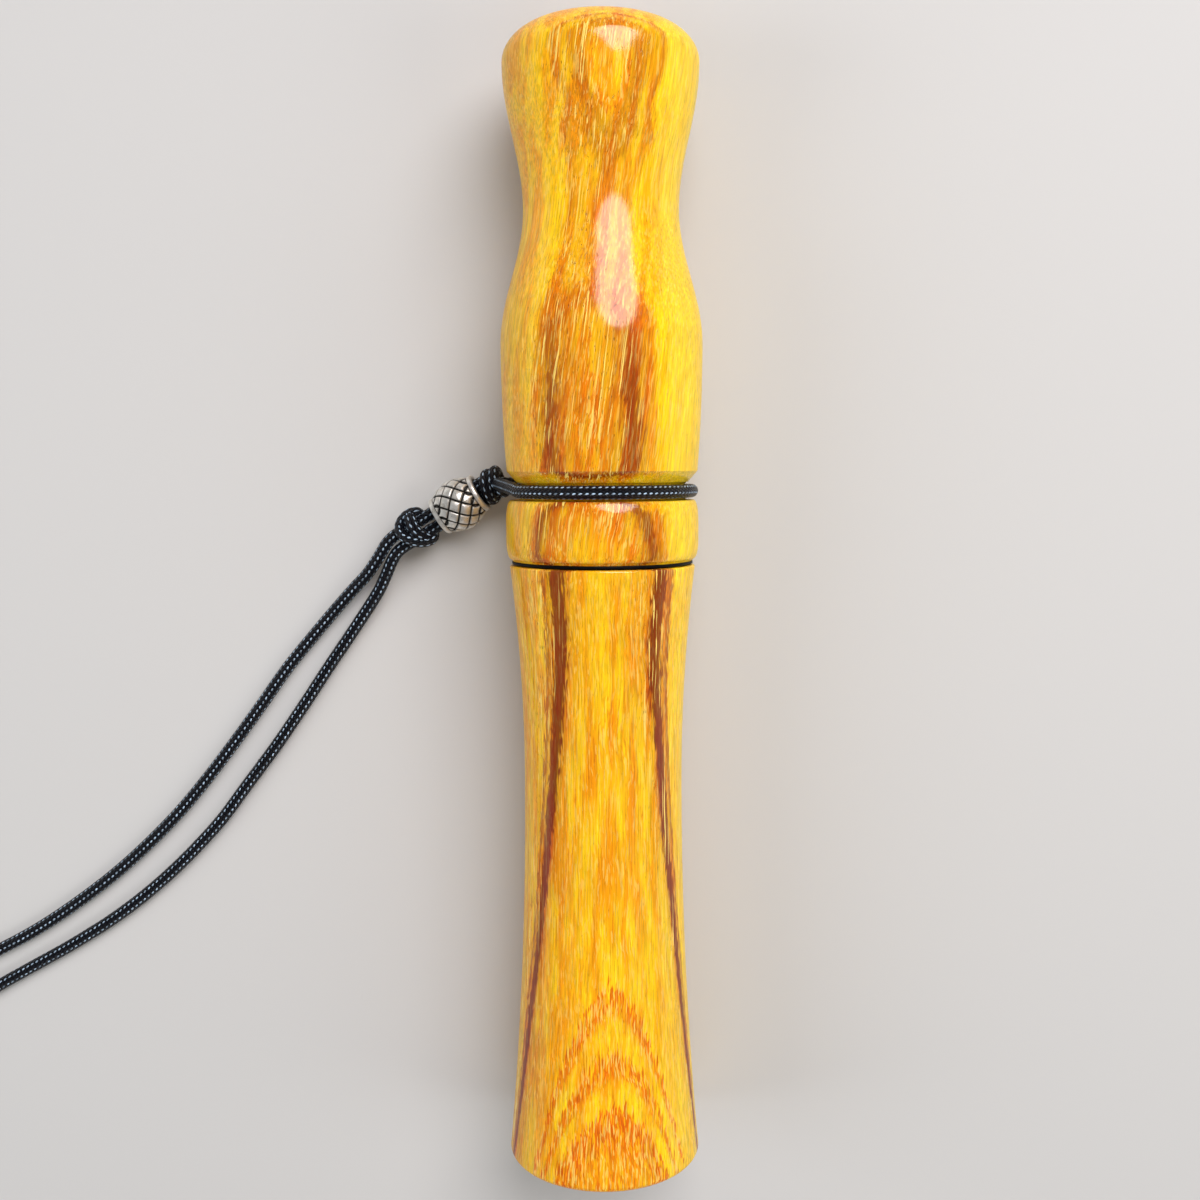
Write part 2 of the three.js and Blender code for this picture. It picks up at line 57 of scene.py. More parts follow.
# Camera, floor and light

cameraSetup = {
    "place": (-0.32, 22.65, 238.95),
    "tilt": -5.54,  # degrees, towards the bell
    "roll": -0.24,
    "lens": 41.76,
    "sensor": 36.0,
}

camData = bpy.data.cameras.new("photoCamera")
camData.lens = cameraSetup["lens"]
camData.sensor_width = cameraSetup["sensor"]
camData.clip_start = 0.01
camData.clip_end = 20
camera = bpy.data.objects.new("photoCamera", camData)
camera.location = Vector(cameraSetup["place"]) * mm
camera.rotation_euler = (radians(cameraSetup["tilt"]), 0, radians(cameraSetup["roll"]))
bpy.context.scene.collection.objects.link(camera)
bpy.context.scene.camera = camera
bpy.context.scene.view_settings.view_transform = "Standard"


# Node helpers

def newMaterial(name):
    material = bpy.data.materials.new(name)
    material.use_nodes = True
    tree = material.node_tree
    tree.nodes.clear()
    return material, tree


def addNode(tree, kind, sockets=None, **settings):
    node = tree.nodes.new("ShaderNode" + kind)
    for key, value in settings.items():
        setattr(node, key, value)
    for key, value in (sockets or {}).items():
        if isinstance(value, bpy.types.NodeSocket):
            tree.links.new(value, node.inputs[key])
        else:
            node.inputs[key].default_value = value
    return node


def calc(tree, operation, *values):
    return addNode(tree, "Math", dict(enumerate(values)), operation=operation).outputs[0]


def span(tree, value, low, high, toLow=0.0, toHigh=1.0, smooth=False):
    sockets = {"Value": value, "From Min": low, "From Max": high, "To Min": toLow, "To Max": toHigh}
    kind = "SMOOTHSTEP" if smooth else "LINEAR"
    return addNode(tree, "MapRange", sockets, interpolation_type=kind).outputs["Result"]


def grayRamp(tree, value, low, high, stops):
    # a grey level by value. The stops are (value, level), and the first is at low.
    node = addNode(tree, "ValToRGB", {"Fac": span(tree, value, low, high)})
    elements = node.color_ramp.elements
    elements.remove(elements[-1])
    elements[0].color = (stops[0][1],) * 3 + (1,)
    for at, level in stops[1:]:
        elements.new((at - low) / (high - low)).color = (level,) * 3 + (1,)
    return node.outputs["Color"]


def mixColor(tree, factor, first, second, blend="MIX"):
    node = addNode(tree, "Mix", data_type="RGBA", blend_type=blend)
    for socket, value in ((node.inputs[0], factor), (node.inputs[6], first), (node.inputs[7], second)):
        if isinstance(value, bpy.types.NodeSocket):
            tree.links.new(value, socket)
        else:
            socket.default_value = value
    return node.outputs[2]


def noise(tree, vector, scale, detail=3.0, roughness=0.5, dimensions="3D"):
    sockets = {"Scale": scale, "Detail": detail, "Roughness": roughness}
    sockets["W" if dimensions == "1D" else "Vector"] = vector
    return addNode(tree, "TexNoise", sockets, noise_dimensions=dimensions).outputs["Fac"]


def scaled(tree, vector, scale, location=(0, 0, 0)):
    return addNode(tree, "Mapping", {"Vector": vector, "Scale": scale, "Location": location}).outputs["Vector"]


def bump(tree, height, distance, strength):
    return addNode(tree, "Bump", {"Height": height, "Distance": distance, "Strength": strength}).outputs["Normal"]


def surface(tree, **sockets):
    shader = addNode(tree, "BsdfPrincipled", {key.replace("_", " "): value for key, value in sockets.items()})
    output = addNode(tree, "OutputMaterial", {"Surface": shader.outputs[0]})
    return shader, output


def objectMillimetres(tree, centre=(0, 0, 0)):
    # Object coordinates in millimetres, from a centre that is also in millimetres
    place = addNode(tree, "TexCoord").outputs["Object"]
    return scaled(tree, place, (1000, 1000, 1000), tuple(-c for c in centre))


# Stage

stageLook = {
    "floor": (202, 201, 199),
    "floorSize": 3.0,
    "fade": (0.26, 0.6),  # metres from the call, over which the floor turns into the plain background
    "horizon": (214, 214, 214),
    "ceiling": (104, 105, 108),
    "skyTurns": (0.05, 0.24),  # how high the background turns from the one to the other, 1 is straight up
    "worldLight": 0.25,
}

lamps = [
    # name, place and aim in mm, size in mm, watts, colour, whether it shows in reflections
    ("softboxTop", (165, 370, 490), (0, 30, 15), (480, 470), 3.7, (1.0, 0.965, 0.98), True),
    ("fillRight", (430, -120, 330), (0, -20, 10), (300, 420), 0.85, (1.0, 0.99, 0.97), False),
    ("fillLeft", (-480, -60, 330), (-10, 0, 15), (320, 420), 1.2, (0.97, 0.985, 1.0), False),
    ("bench", (0, -420, 460), (0, -20, 10), (420, 240), 0.45, (1.0, 1.0, 1.0), False),
]


def seenRay(tree):
    rays = addNode(tree, "LightPath")
    seen = calc(tree, "MAXIMUM", rays.outputs["Is Camera Ray"], rays.outputs["Is Glossy Ray"])
    return calc(tree, "MAXIMUM", seen, rays.outputs["Is Transmission Ray"])


def makeStage():
    half = stageLook["floorSize"] / 2
    bm = bmesh.new()
    bmesh.ops.create_grid(bm, x_segments=1, y_segments=1, size=half)
    floorMesh = bpy.data.meshes.new("floor")
    bm.to_mesh(floorMesh)
    bm.free()
    material, tree = newMaterial("floorPaper")
    shader, output = surface(tree, Base_Color=linear(*stageLook["floor"]), Roughness=0.85, Specular_IOR_Level=0.2)
    place = addNode(tree, "TexCoord").outputs["Object"]
    away = addNode(tree, "VectorMath", {0: place}, operation="LENGTH").outputs["Value"]
    far = calc(tree, "MULTIPLY", span(tree, away, *stageLook["fade"], smooth=True), seenRay(tree))
    plain = addNode(tree, "Emission", {"Color": linear(*stageLook["horizon"]), "Strength": 1.0}).outputs[0]
    mixed = addNode(tree, "MixShader", {0: far, 1: shader.outputs[0], 2: plain}).outputs[0]
    tree.links.new(mixed, output.inputs["Surface"])
    floorMesh.materials.append(material)
    floorPiece = bpy.data.objects.new("floor", floorMesh)
    bpy.context.scene.collection.objects.link(floorPiece)

    world = bpy.data.worlds.new("studio")
    world.use_nodes = True
    bpy.context.scene.world = world
    tree = world.node_tree
    tree.nodes.clear()
    seen = seenRay(tree)
    strength = span(tree, seen, 0, 1, stageLook["worldLight"], 1.0)
    upward = addNode(tree, "SeparateXYZ", {"Vector": addNode(tree, "TexCoord").outputs["Generated"]}).outputs["Z"]
    climb = span(tree, upward, *stageLook["skyTurns"], smooth=True)
    sky = mixColor(tree, climb, linear(*stageLook["horizon"]), linear(*stageLook["ceiling"]))
    sky = mixColor(tree, seen, linear(*stageLook["horizon"]), sky)
    background = addNode(tree, "Background", {"Color": sky, "Strength": strength})
    addNode(tree, "OutputWorld", {"Surface": background.outputs[0]})

    for name, place, aim, size, watts, color, reflected in lamps:
        data = bpy.data.lights.new(name, "AREA")
        data.shape = "ELLIPSE"
        data.size, data.size_y = size[0] * mm, size[1] * mm
        data.energy = watts
        data.color = color
        lamp = bpy.data.objects.new(name, data)
        lamp.visible_glossy = reflected
        lamp.location = Vector(place) * mm
        lamp.rotation_euler = (Vector(aim) - Vector(place)).to_track_quat("-Z", "Y").to_euler()
        bpy.context.scene.collection.objects.link(lamp)


makeStage()
print("camera and stage made")


# Cord

cordMake = {
    "diameter": 2.1,
    "sides": 16,
    "step": 0.7,  # between two rings of a tube
    "pitch": 0.93,  # from one pale dash to the next in its row
    "columns": 24,  # of stitches around the cord
    "tracerEvery": 4,
    "dash": (0.44, 0.68),  # how much of a tracer's stitch is pale
    "worn": 0.3,  # how faint the faintest dash is
    "stitchDepth": 0.22,
    "roughness": 0.32,
    "black": (3, 4, 7),
    # painted sheen: a bluish tint laid on the raised stitch tops
    "paintedSheen": (11, 15, 27),
    "tracer": (190, 216, 240),
}


def braidedCord():
    material, tree = newMaterial("braidedCord")
    uv = addNode(tree, "UVMap", uv_map="UVMap").outputs["UV"]
    parts = addNode(tree, "SeparateXYZ", {"Vector": uv})
    along, around = parts.outputs["X"], parts.outputs["Y"]  # along counts pitches
    half = cordMake["columns"] / 2
    first = calc(tree, "MULTIPLY_ADD", around, half, along)
    second = calc(tree, "MULTIPLY_ADD", around, -half, along)
    firstCell, secondCell = calc(tree, "FLOOR", first), calc(tree, "FLOOR", second)
    firstPart, secondPart = calc(tree, "FRACT", first), calc(tree, "FRACT", second)
    column = calc(tree, "SUBTRACT", firstCell, secondCell)
    parity = calc(tree, "FLOORED_MODULO", column, 2.0)
    crossFirst = calc(tree, "SINE", calc(tree, "MULTIPLY", firstPart, pi))
    crossSecond = calc(tree, "SINE", calc(tree, "MULTIPLY", secondPart, pi))
    over = calc(tree, "MULTIPLY", crossFirst, calc(tree, "POWER", crossSecond, 0.35))
    under = calc(tree, "MULTIPLY", crossSecond, calc(tree, "POWER", crossFirst, 0.35))
    stitch = addNode(tree, "Mix", {0: parity, 2: over, 3: under}, data_type="FLOAT").outputs[0]
    row = calc(tree, "FLOORED_MODULO", column, float(cordMake["tracerEvery"]))
    isTracer = calc(tree, "LESS_THAN", row, 0.5)
    dash = calc(tree, "MULTIPLY", isTracer, span(tree, stitch, *cordMake["dash"], smooth=True))
    grain = noise(tree, scaled(tree, uv, (9, 60, 1)), 1.0, 2.0)
    worn = noise(tree, scaled(tree, uv, (0.9, 11, 1), (3, 5, 0)), 1.0, 1.0)
    dash = calc(tree, "MULTIPLY", dash, span(tree, worn, 0.36, 0.62, cordMake["worn"], 1.0))
    # the black yarn turns toward a bluish tint on the raised stitch tops: a painted sheen
    yarnWithPaintedSheen = mixColor(tree, span(tree, stitch, 0.2, 1.0), linear(*cordMake["black"]), linear(*cordMake["paintedSheen"]))
    color = mixColor(tree, dash, yarnWithPaintedSheen, linear(*cordMake["tracer"]))
    height = calc(tree, "MULTIPLY_ADD", grain, 0.18, stitch)
    surface(
        tree, Base_Color=color, Roughness=cordMake["roughness"], Specular_IOR_Level=0.28,
        Normal=bump(tree, height, cordMake["stitchDepth"] * mm, 1.0),
    )
    return material


cordMaterial = braidedCord()


def smoothPath(points, step):
    # a centripetal curve through the points, in millimetres, then cut into equal steps
    finePerSpan = 24
    places = [Vector(p) for p in points]
    places = [2 * places[0] - places[1], *places, 2 * places[-1] - places[-2]]
    fine = []
    for i in range(1, len(places) - 2):
        a, b, c, d = places[i - 1:i + 3]
        gaps = [sqrt((q - p).length) for p, q in ((a, b), (b, c), (c, d))]
        slopeB = ((b - a) / gaps[0] - (c - a) / (gaps[0] + gaps[1]) + (c - b) / gaps[1]) * gaps[1]
        slopeC = ((c - b) / gaps[1] - (d - b) / (gaps[1] + gaps[2]) + (d - c) / gaps[2]) * gaps[1]
        for k in range(finePerSpan):
            t = k / finePerSpan
            fine.append(
                b * (2 * t**3 - 3 * t**2 + 1) + slopeB * (t**3 - 2 * t**2 + t)
                + c * (3 * t**2 - 2 * t**3) + slopeC * (t**3 - t**2)
            )
    fine.append(places[-2])
    lengths = [0.0]
    for p, q in zip(fine, fine[1:]):
        lengths.append(lengths[-1] + (q - p).length)
    count = max(2, round(lengths[-1] / step))
    path, at = [], 0
    for k in range(count + 1):
        wanted = lengths[-1] * k / count
        while at < len(lengths) - 2 and lengths[at + 1] < wanted:
            at += 1
        share = (wanted - lengths[at]) / max(lengths[at + 1] - lengths[at], 1e-9)
        path.append(fine[at].lerp(fine[at + 1], min(max(share, 0), 1)))
    return path


def pathLength(path):
    return sum((q - p).length for p, q in zip(path, path[1:]))


def meshPiece(name, mesh, body, replaced=()):
    piece = bpy.data.objects.new(name, mesh)
    bpy.context.scene.collection.objects.link(piece)
    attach(piece, body)
    if replaced:
        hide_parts(*replaced)
    return piece


def cordPiece(name, points, replaced=(), step=cordMake["step"], turnStart=0.0):
    # a tube with its own UV map: X counts braid pitches along it and Y goes once around
    path = smoothPath(points, step)
    curve = bpy.data.curves.new(name + "Line", "CURVE")
    curve.dimensions = "3D"
    curve.twist_mode = "MINIMUM"
    curve.bevel_depth = cordMake["diameter"] / 2 * mm
    curve.bevel_resolution = (cordMake["sides"] - 4) // 2
    curve.use_fill_caps = True
    spline = curve.splines.new("POLY")
    spline.points.add(len(path) - 1)
    for point, place in zip(spline.points, path):
        point.co = (*(place * mm), 1)
    carrier = bpy.data.objects.new(name + "Line", curve)
    bpy.context.scene.collection.objects.link(carrier)
    graph = bpy.context.evaluated_depsgraph_get()
    mesh = bpy.data.meshes.new_from_object(
        carrier.evaluated_get(graph), preserve_all_data_layers=True, depsgraph=graph,
    )
    bpy.data.objects.remove(carrier)
    bpy.data.curves.remove(curve)
    mesh.name = name
    pitches = pathLength(path) / cordMake["pitch"]
    for corner in mesh.uv_layers["UVMap"].data:
        corner.uv = (corner.uv[0] * pitches, corner.uv[1] + turnStart)
    mesh.materials.clear()
    mesh.materials.append(cordMaterial)
    for face in mesh.polygons:
        face.use_smooth = True
    return meshPiece(name, mesh, "lanyard", replaced), path


def fromGroove(points):
    # route points are X, Y from the lanyard groove, and Z
    return [Vector((x, y + grooveStation - callLength / 2, z)) for x, y, z in points]


beadLine = {
    "place": fromGroove([(-23.9, -2.4, 4.9)])[0],
    "along": Vector((-0.854, -0.509, -0.105)).normalized(),  # to the neck loop
    "strandOffset": 1.2,
    "nooseKnot": -7.1,
    "stopperKnot": 8.9,
    "beadHole": 4.2,  # to each end of the hole
    "runsIn": (0.5, 1.0),  # how far the two strands go past the middle of each knot
}
beadSide = Vector((beadLine["along"].y, -beadLine["along"].x, 0)).normalized()
beadUp = beadSide.cross(beadLine["along"])


def onBeadLine(distance, side=0.0, up=0.0):
    return beadLine["place"] + beadLine["along"] * distance + beadSide * side + beadUp * up


neckLoop = {
    "endInKnot": 1.2,  # from the stopper knot's middle to the cord's ends, which it holds
    "leavesKnot": 3.6,
    "coilPlace": (-140, -106, 0),
    "coilOuterRadius": 17.25,
    "coilPitch": 2.65,
    "coilStart": pi / 2,
    "coilTurns": 7 + 260 / 360,
    "stepsPerTurn": 24,
    "climbTurns": 0.5,  # over which the coil's lower layer turns into the upper one
    "step": 0.9,
    "routeA": [
        (-36.4, -8.9, 3.4), (-38.0, -11.4, 2.95), (-40.1, -14.3, 2.4), (-42.6, -16.9, 1.95), (-48.3, -23.3, 1.3),
        (-54.1, -30.2, 1.1), (-59.2, -37.2, 1.1), (-64.4, -44.2, 1.1), (-70.0, -51.3, 1.1), (-75.3, -57.3, 1.1),
        (-84.0, -65.5, 1.1), (-92.6, -72.1, 1.1), (-101.2, -77.6, 1.1), (-113.0, -83.4, 1.1), (-121.0, -86.4, 1.1),
        (-129.5, -88.2, 1.1),
    ],
    "routeB": [
        (-34.95, -10.75, 3.4), (-35.8, -12.2, 3.15), (-36.75, -14.3, 2.75), (-38.15, -17.1, 2.25),
        (-42.3, -23.3, 1.4), (-47.1, -30.2, 1.1), (-51.8, -37.2, 1.1), (-56.7, -44.2, 1.1), (-62.1, -51.3, 1.1),
        (-67.0, -57.7, 1.1), (-75.6, -66.5, 1.1), (-84.2, -73.5, 1.1), (-92.9, -79.1, 1.1), (-101.5, -83.9, 1.1),
        (-107.0, -87.0, 1.1), (-111.9, -90.2, 1.1), (-116.5, -94.8, 1.2), (-120.1, -100.1, 2.0),
        (-121.6, -103.4, 3.0),
    ],
}


def coilPoints():
    turns, perTurn = neckLoop["coilTurns"], neckLoop["stepsPerTurn"]
    steps = round(turns * perTurn)
    centre = fromGroove([neckLoop["coilPlace"]])[0]
    points = []
    for i in range(steps + 1):
        turn = turns * i / steps
        angle = neckLoop["coilStart"] + turn * 2 * pi
        fromMiddle = turn - turns / 2
        radius = neckLoop["coilOuterRadius"] - neckLoop["coilPitch"] * (turns / 2 - abs(fromMiddle))
        climb = min(max(fromMiddle / neckLoop["climbTurns"] + 0.5, 0), 1)
        climb = climb * climb * (3 - 2 * climb)
        height = cordMake["diameter"] / 2 + neckLoop["coilPitch"] * climb
        points.append(centre + Vector((radius * cos(angle), radius * sin(angle), height)))
    return points


def makeNeckCord():
    starts = [beadLine["stopperKnot"] + neckLoop[key] for key in ("endInKnot", "leavesKnot")]
    startA = [onBeadLine(start, beadLine["strandOffset"]) for start in starts]
    startB = [onBeadLine(start, -beadLine["strandOffset"]) for start in starts]
    points = (
        startA + fromGroove(neckLoop["routeA"]) + coilPoints()
        + fromGroove(neckLoop["routeB"])[::-1] + startB[::-1]
    )
    nodes = ["lanyard_strand_a", "lanyard_coil", "lanyard_strand_b"]
    piece, path = cordPiece("neckCord", points, nodes, step=neckLoop["step"])
    print("neck cord", round(pathLength(path)), "mm")
    return piece, path, startA[1]


nooseMake = {
    "gap": 0.3,
    "startsAt": 0.06,  # of the way from the knot's middle to the groove
    "ringSteps": 48,
    "drift": [0.3, 0.12],  # the groove lets the ring's ends turn to the knot
}


def makeNoose():
    radius = grooveFloor + nooseMake["gap"] + cordMake["diameter"] / 2
    knot = onBeadLine(beadLine["nooseKnot"])
    y = grooveStation - callLength / 2
    acrossX, acrossZ = knot.x, knot.z - axisHeight
    reach = acos(radius / hypot(acrossX, acrossZ))
    startAngle = atan2(acrossZ, acrossX) - reach
    sweep = -2 * (pi - reach)
    steps, drift = nooseMake["ringSteps"], nooseMake["drift"]
    drifts = drift + [0.0] * (steps + 1 - 2 * len(drift)) + drift[::-1]
    angles = [startAngle + sweep * k / steps for k in range(steps + 1)]
    ring = [
        Vector((radius * cos(angle), y + aside, axisHeight + radius * sin(angle)))
        for angle, aside in zip(angles, drifts)
    ]
    first, last = (knot.lerp(end, nooseMake["startsAt"]) for end in (ring[0], ring[-1]))
    points = [first.lerp(ring[0], k / 4) for k in range(4)] + ring
    points += [ring[-1].lerp(last, k / 4) for k in (1, 2, 3, 4)]
    # a twelfth of a turn brings a row of dashes to the top
    return cordPiece("nooseCord", points, ["noose"], turnStart=1 / 12)[0]


wrapStep = 0.3
knotWraps = {
    # along the bead's line from the knot's middle, to the side and up, in millimetres
    "nooseKnotOver": [
        (0.1, 1.4, -1.0), (0.5, 1.8, 0.2), (0.9, 1.2, 1.35), (1.4, 0.0, 1.75), (1.8, -1.2, 1.3),
        (1.9, -2.0, 0.2), (1.4, -1.9, -1.1), (0.9, -0.8, -1.7), (0.4, 0.6, -1.5),
    ],
    "nooseKnotBack": [
        (-0.6, -1.7, -0.6), (-0.6, -2.0, 0.5), (-0.4, -1.0, 1.5), (-0.3, 0.2, 1.5), (-0.7, 1.2, 0.9),
        (-0.9, 1.6, -0.3), (-0.7, 0.9, -1.4), (-0.4, -0.4, -1.6), (-0.4, -1.4, -1.0),
    ],
    "stopperKnotOuter": [
        (-1.9, 1.9, -1.0), (-1.7, 2.6, -0.1), (-0.5, 2.9, 0.4), (0.9, 2.5, 0.7), (1.8, 1.5, 1.1),
        (1.7, 0.2, 1.6), (0.7, -1.1, 1.7), (-0.5, -2.1, 1.1), (-1.7, -2.4, 0.1), (-2.1, -1.9, -1.1),
        (-1.6, -0.6, -1.9),
    ],
    "stopperKnotInner": [
        (0.2, 2.2, -1.2), (-0.4, 2.6, 0.1), (-0.6, 2.1, 1.3), (-0.5, 0.9, 1.95), (-0.6, -0.5, 1.8),
        (-1.1, -1.7, 0.9), (-0.6, -2.1, -0.3), (0.6, -1.6, -1.2), (1.4, -0.2, -1.7),
    ],
    "stopperKnotUnder": [
        (1.5, 1.6, -0.3), (1.9, 0.6, -1.4), (1.4, -0.8, -1.8), (0.4, -1.9, -1.3), (-0.9, -1.9, -0.6),
    ],
}


def makeKnots():
    pieces = []
    for name, wrap in knotWraps.items():
        middle = beadLine["nooseKnot"] if name.startswith("noose") else beadLine["stopperKnot"]
        points = [onBeadLine(middle + t, s, u) for t, s, u in wrap]
        replaced = {"nooseKnotOver": ["noose_knot"], "stopperKnotOuter": ["stopper_knot"]}.get(name, [])
        pieces.append(cordPiece(name, points, replaced, step=wrapStep)[0])
    for name, side, node in (("beadCordA", 1, "bead_strand_a"), ("beadCordB", -1, "bead_strand_b")):
        hole, (low, high) = beadLine["beadHole"], beadLine["runsIn"]
        stops = [beadLine["nooseKnot"] - low, -hole, 0.0, hole, beadLine["stopperKnot"] + high]
        points = [onBeadLine(distance, side * beadLine["strandOffset"]) for distance in stops]
        pieces.append(cordPiece(name, points, [node])[0])
    return pieces


neckCord, neckPath, neckExit = makeNeckCord()
nooseCord = makeNoose()
knotPieces = makeKnots()
print("cords made")


# Turned pieces. An outline is a list of (station, radius): up the outside, back down the inside.

def stretch(steps, place):
    return [place(i / steps) for i in range(steps + 1)]


def ease(start, end, steps):
    # level at both ends
    return stretch(steps, lambda t: (
        start[0] + (end[0] - start[0]) * t, start[1] + (end[1] - start[1]) * (1 - cos(pi * t)) / 2))


def cove(start, end, steps):
    # a hollow or a swell, level at its start
    return stretch(steps, lambda t: (start[0] + (end[0] - start[0]) * t, start[1] + (end[1] - start[1]) * t * t))


def quarter(start, end, steps):
    # a quarter of an ellipse, level at its start
    return stretch(steps, lambda t: (
        start[0] + (end[0] - start[0]) * sin(pi / 2 * t), end[1] + (start[1] - end[1]) * cos(pi / 2 * t)))


def joined(*stretches):
    outline = []
    for point in (p for part in stretches for p in part):
        if not outline or hypot(point[0] - outline[-1][0], point[1] - outline[-1][1]) > 1e-6:
            outline.append(point)
    return outline


def spun(name, outline, steps):
    # the closed outline is spun about the call's axis
    bm = bmesh.new()
    rim = [bm.verts.new((0, (s - callLength / 2) * mm, r * mm)) for s, r in outline]
    edges = [bm.edges.new((rim[i], rim[(i + 1) % len(rim)])) for i in range(len(rim))]
    bmesh.ops.spin(bm, geom=rim + edges, cent=(0, 0, 0), axis=(0, 1, 0), angle=2 * pi, steps=steps, use_merge=True)
    bmesh.ops.remove_doubles(bm, verts=bm.verts, dist=1e-7)
    bmesh.ops.recalc_face_normals(bm, faces=bm.faces)
    bmesh.ops.translate(bm, verts=bm.verts, vec=(0, 0, axisHeight * mm))
    return meshOf(bm, name)


def meshOf(bm, name, sharpAngle=32):
    for face in bm.faces:
        face.smooth = True
    for edge in bm.edges:
        edge.smooth = edge.calc_face_angle(0) < radians(sharpAngle)
    mesh = bpy.data.meshes.new(name)
    bm.to_mesh(mesh)
    bm.free()
    return mesh


# Wood

woodLook = {
    "ringSpacing": 0.95,
    "ringRadius": 30,  # how strongly the growth rings curve
    "roughness": 0.4,
    "lacquer": 0.42,
    "lacquerIor": 2.0,
    "lacquerRoughness": 0.1,
    "poreDepth": 0.08,
    "lacquerDip": 0.03,  # how far the lacquer sinks over a pore
    "sway": 0.7,  # how far the fibres swing to each side
    "dome": (146, 162),  # stations over which the mouth end's own figure sets in
    "fullArch": (6.3, 6.6),  # depths past which the innermost arch is filled
    "fineLines": (1.3, 0.68),  # how bright the finest lines are, from the palest to the darkest
    # the brown layer's height over the axis: shares of the call's length and of riseScale
    "riseScale": 20.0,
    "layerRise": [
        (0, 0.38), (0.165, 0.45), (0.3, 0.51), (0.375, 0.545), (0.474, 0.6225), (0.534, 0.67), (0.57, 0.71),
        (0.63, 0.735), (0.727, 0.77), (0.762, 0.758), (0.8, 0.69), (0.843, 0.633), (0.887, 0.664), (0.93, 0.745),
        (1, 0.745),
    ],
    "colors": {
        "yellow": (255, 204, 20), "gold": (246, 164, 4), "orange": (238, 120, 0), "rust": (214, 84, 0),
        "stain": (204, 86, 0), "brown": (112, 20, 0), "pale": (255, 222, 112), "pore": (80, 28, 0),
        # painted shade for the left flank and painted light for the right flank
        "paintedShadeOlive": (196, 142, 4), "bright": (255, 220, 14),
    },
    # how fine each pattern is: to the side, along the call and up
    "grain": {
        "wander": (0.07, 0.025, 0.07), "sway": (0.25, 0.13, 0.25), "fleck": (3.5, 0.4, 3.0),
        "paleFleck": (3.8, 0.3, 3.2), "fine": (5.5, 0.11, 4.0), "mottle": (0.55, 0.05, 0.4),
        "threads": (3.6, 0.06, 1.0), "pores": (6.5, 0.8, 6.5),
    },
}


